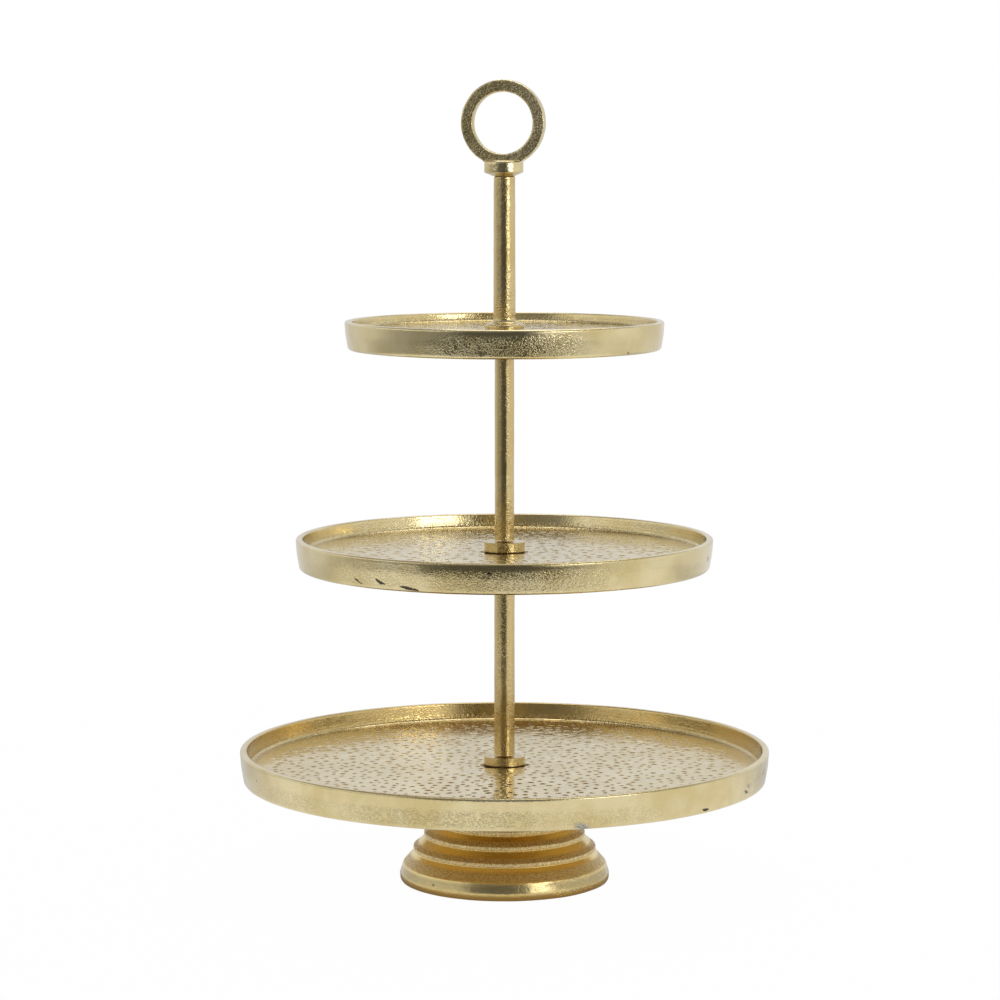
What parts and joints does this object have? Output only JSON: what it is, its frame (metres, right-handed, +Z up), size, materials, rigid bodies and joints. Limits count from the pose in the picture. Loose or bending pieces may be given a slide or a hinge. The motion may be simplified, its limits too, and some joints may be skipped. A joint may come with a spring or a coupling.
{
  "type": "tiered cake stand",
  "caption": "Tiered round cake stand: rimmed trays threaded on a central column of screwed posts, on a hollow stepped foot, with a ring handle on top.",
  "frame": {"origin": "on the table, at the middle of the foot, where the column's axis meets the plane of the pads", "axes": "+Z up along the column; -Y towards the front, the side that the ring handle's face looks to, turned 14.5 degrees to the left"},
  "size_m": [0.4599, 0.46, 0.6939],
  "materials": {
    "gold_casting": "cast aluminium, polished and lacquered pale brass",
    "amber_casting": "cast aluminium, lacquered deep brass",
    "zinc_steel": "zinc-plated steel",
    "fibre": "vulcanised fibre",
    "felt": "dark felt"
  },
  "bodies": {
    "base": {"foot": "amber_casting", "foot_pads": "felt", "base_bolt": "zinc_steel", "base_spring_washer": "zinc_steel", "base_flat_washer": "zinc_steel", "foot_gasket": "fibre"},
    "lower_tray": {"lower_tray": "gold_casting"},
    "lower_screw": {"lower_seat_washer": "fibre"},
    "lower_post": {"lower_post": "gold_casting", "lower_stud": "zinc_steel", "middle_under_washer": "fibre"},
    "middle_tray": {"middle_tray": "gold_casting"},
    "middle_screw": {"middle_seat_washer": "fibre"},
    "middle_post": {"middle_post": "gold_casting", "middle_stud": "zinc_steel", "upper_under_washer": "fibre"},
    "top_tray": {"top_tray": "gold_casting"},
    "upper_screw": {"upper_seat_washer": "fibre"},
    "upper_post": {"upper_post": "gold_casting", "upper_stud": "zinc_steel"},
    "handle_screw": {"handle_washer": "fibre"},
    "handle": {"ring_handle": "gold_casting"}
  },
  "joints": [
    {"name": "lower_tray_turn", "type": "hinge", "parent": "base", "child": "lower_tray", "pos_m": [0, 0, 0.102], "axis": [0, 0, 1], "continuous": true},
    {"name": "lower_post_lift", "type": "slide", "parent": "base", "child": "lower_screw", "axis": [0, 0, 1], "range_m": [0, 0.0125]},
    {"name": "lower_post_unscrew", "type": "hinge", "parent": "lower_screw", "child": "lower_post", "pos_m": [0, 0, 0.102], "axis": [0, 0, 1], "range_deg": [0, 3600.01]},
    {"name": "middle_tray_turn", "type": "hinge", "parent": "lower_post", "child": "middle_tray", "pos_m": [0, 0, 0.289], "axis": [0, 0, 1], "continuous": true},
    {"name": "middle_post_lift", "type": "slide", "parent": "lower_post", "child": "middle_screw", "axis": [0, 0, 1], "range_m": [0, 0.0125]},
    {"name": "middle_post_unscrew", "type": "hinge", "parent": "middle_screw", "child": "middle_post", "pos_m": [0, 0, 0.289], "axis": [0, 0, 1], "range_deg": [0, 3600.01]},
    {"name": "top_tray_turn", "type": "hinge", "parent": "middle_post", "child": "top_tray", "pos_m": [0, 0, 0.4805], "axis": [0, 0, 1], "continuous": true},
    {"name": "upper_post_lift", "type": "slide", "parent": "middle_post", "child": "upper_screw", "axis": [0, 0, 1], "range_m": [0, 0.0125]},
    {"name": "upper_post_unscrew", "type": "hinge", "parent": "upper_screw", "child": "upper_post", "pos_m": [0, 0, 0.4805], "axis": [0, 0, 1], "range_deg": [0, 3600.01]},
    {"name": "handle_lift", "type": "slide", "parent": "upper_post", "child": "handle_screw", "axis": [0, 0, 1], "range_m": [0, 0.0125]},
    {"name": "handle_unscrew", "type": "hinge", "parent": "handle_screw", "child": "handle", "pos_m": [0, 0, 0.6122], "axis": [0, 0, 1], "range_deg": [0, 3600.01]}
  ],
  "couplings": [
    {"joint": "lower_post_unscrew", "follows": "lower_post_lift", "rad_per_m": 5026.5},
    {"joint": "middle_post_unscrew", "follows": "middle_post_lift", "rad_per_m": 5026.5},
    {"joint": "upper_post_unscrew", "follows": "upper_post_lift", "rad_per_m": 5026.5},
    {"joint": "handle_unscrew", "follows": "handle_lift", "rad_per_m": 5026.5}
  ]
}
